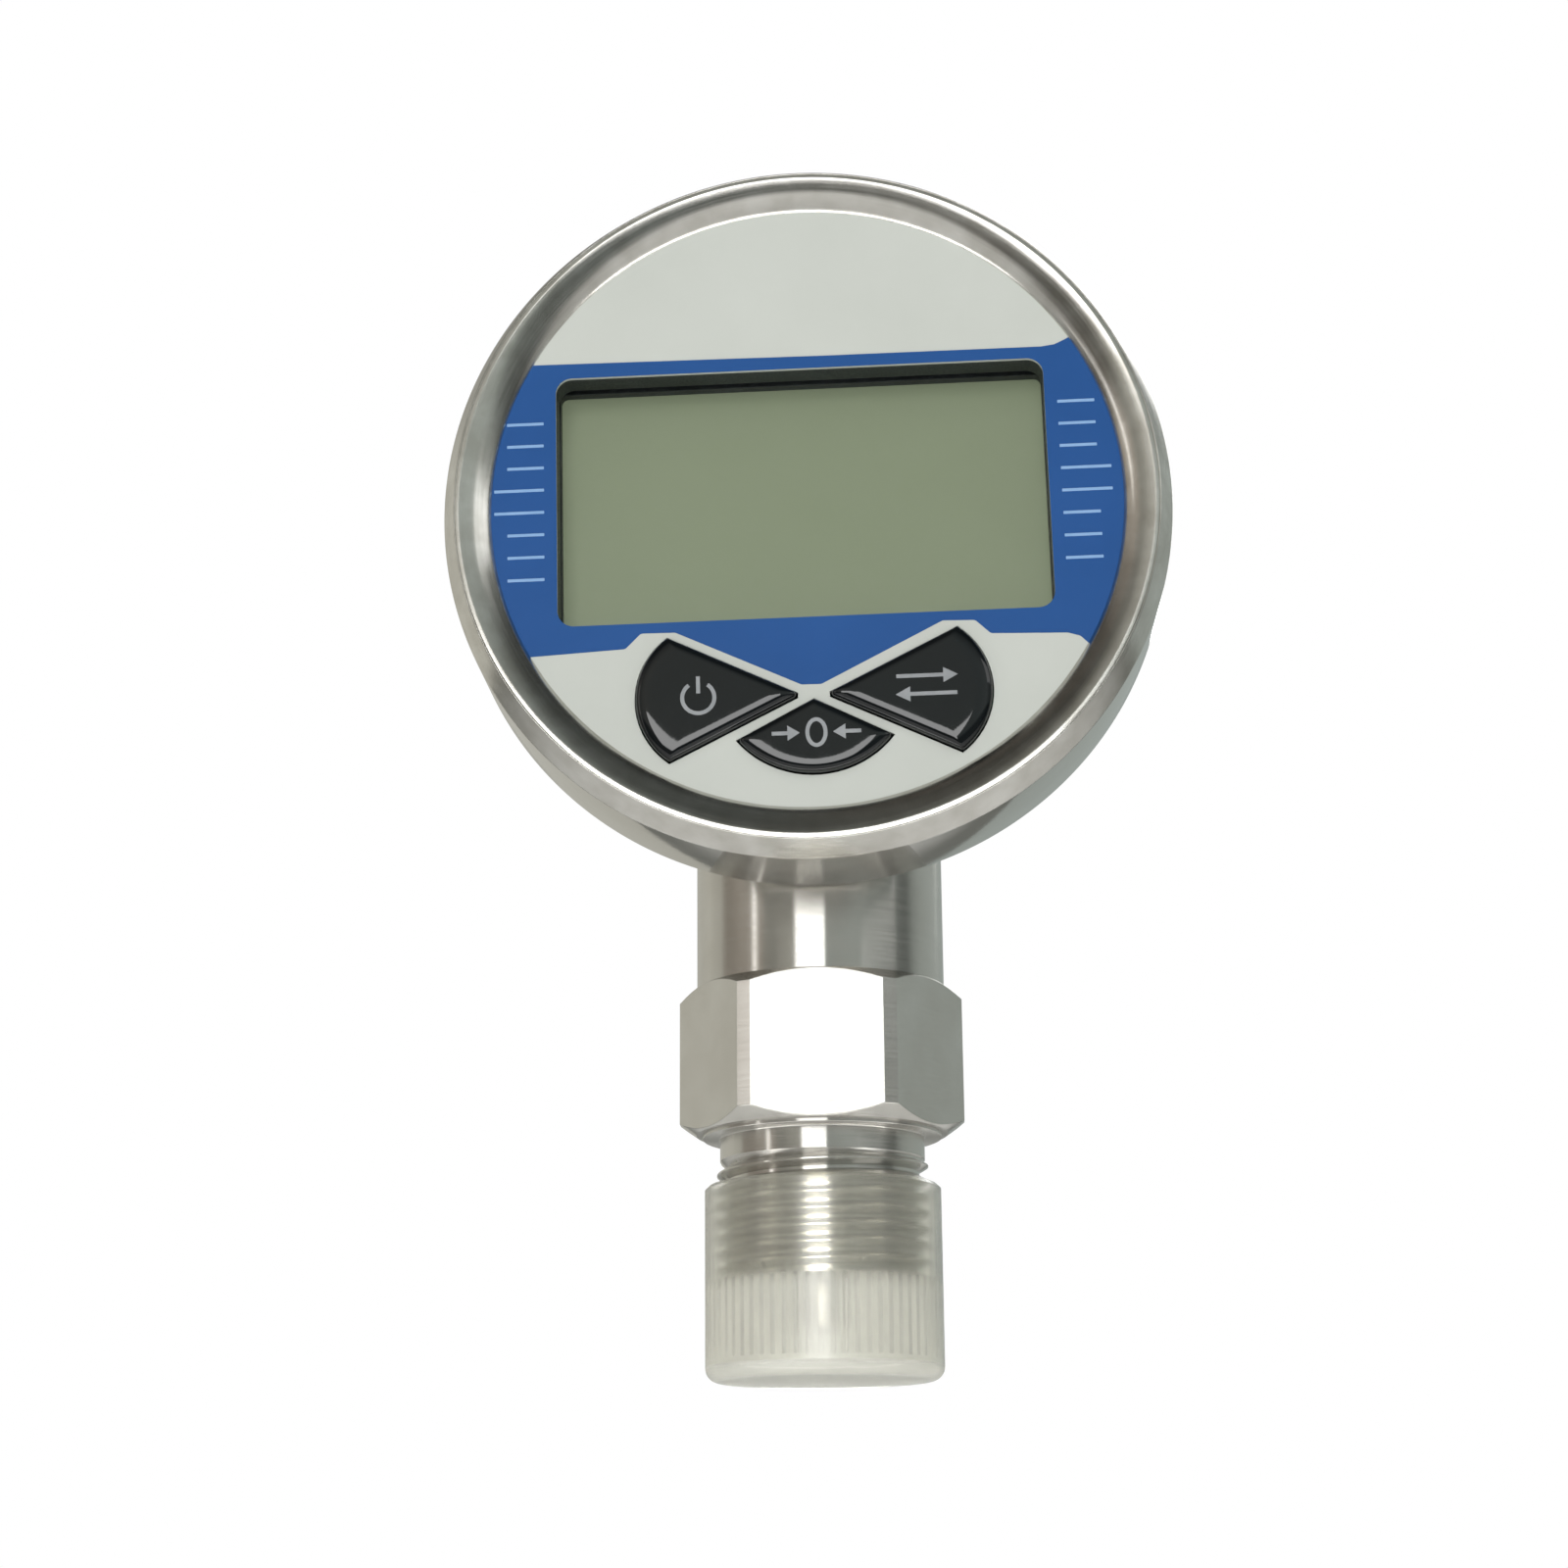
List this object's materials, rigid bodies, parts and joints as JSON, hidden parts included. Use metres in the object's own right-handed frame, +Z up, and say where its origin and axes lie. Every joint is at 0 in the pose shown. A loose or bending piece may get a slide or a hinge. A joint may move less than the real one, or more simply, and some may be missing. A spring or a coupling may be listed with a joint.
{
  "type": "digital pressure gauge",
  "caption": "Digital pressure gauge: round metal case with a recessed display and wedge keys, on a hexagonal stem whose thread wears a push-on protective cap.",
  "frame": {"origin": "middle of the hexagon's sealing shoulder, where the gauge seats on its connection", "axes": "+Z up along the stem to the case, -Y out of the display, +X to the right seen from the display's side"},
  "size_m": [0.067, 0.0416, 0.1111],
  "materials": {
    "steel": "satin turned stainless steel",
    "ring_steel": "polished rolled stainless steel",
    "cap_plastic": "translucent soft plastic",
    "dial_film": "printed silver-grey film with a blue band",
    "dark_plastic": "moulded dark plastic",
    "key_plastic": "glossy dark plastic",
    "display": "blank grey-green liquid crystal display",
    "clear": "clear pane",
    "gasket": "black rubber",
    "contact_rubber": "conductive silicone rubber",
    "board": "green lacquered laminate",
    "chip": "moulded black resin",
    "cell": "plain wrapped cell",
    "plated": "nickel-plated metal",
    "film_lead": "amber film with copper tracks"
  },
  "bodies": {
    "gauge": {"stem": "steel", "case_shell": "steel", "bezel_ring": "ring_steel", "bezel_gasket": "gasket", "overlay": "dial_film", "face_plate": "dark_plastic", "window_pane": "clear", "lcd_frame": "dark_plastic", "lcd_glass": "display", "lcd_contact_strips": "contact_rubber", "circuit_board": "board", "controller_chip": "chip", "key_switches": "dark_plastic", "board_screws": "plated", "battery_tray": "dark_plastic", "battery_cells": "cell", "battery_contacts": "plated", "pressure_sensor": "steel", "sensor_oring": "gasket", "sensor_nut": "steel", "sensor_lead": "film_lead", "rear_cover": "steel", "rear_gasket": "gasket", "rear_nuts": "plated", "rear_screws": "plated"},
    "cap": {"thread_cap": "cap_plastic"},
    "key_left": {"power_key": "key_plastic"},
    "key_middle": {"zero_key": "key_plastic"},
    "key_right": {"unit_key": "key_plastic"}
  },
  "joints": [
    {"name": "cap_slide", "type": "slide", "parent": "gauge", "child": "cap", "axis": [0, 0, -1], "range_m": [0, 0.04]},
    {"name": "power_press", "type": "slide", "parent": "gauge", "child": "key_left", "axis": [0, 1, 0], "range_m": [0, 0.00035], "stiffness_N_per_m": 1500, "springref_m": -0.0003},
    {"name": "zero_press", "type": "slide", "parent": "gauge", "child": "key_middle", "axis": [0, 1, 0], "range_m": [0, 0.00035], "stiffness_N_per_m": 1500, "springref_m": -0.0003},
    {"name": "unit_press", "type": "slide", "parent": "gauge", "child": "key_right", "axis": [0, 1, 0], "range_m": [0, 0.00035], "stiffness_N_per_m": 1500, "springref_m": -0.0003}
  ]
}
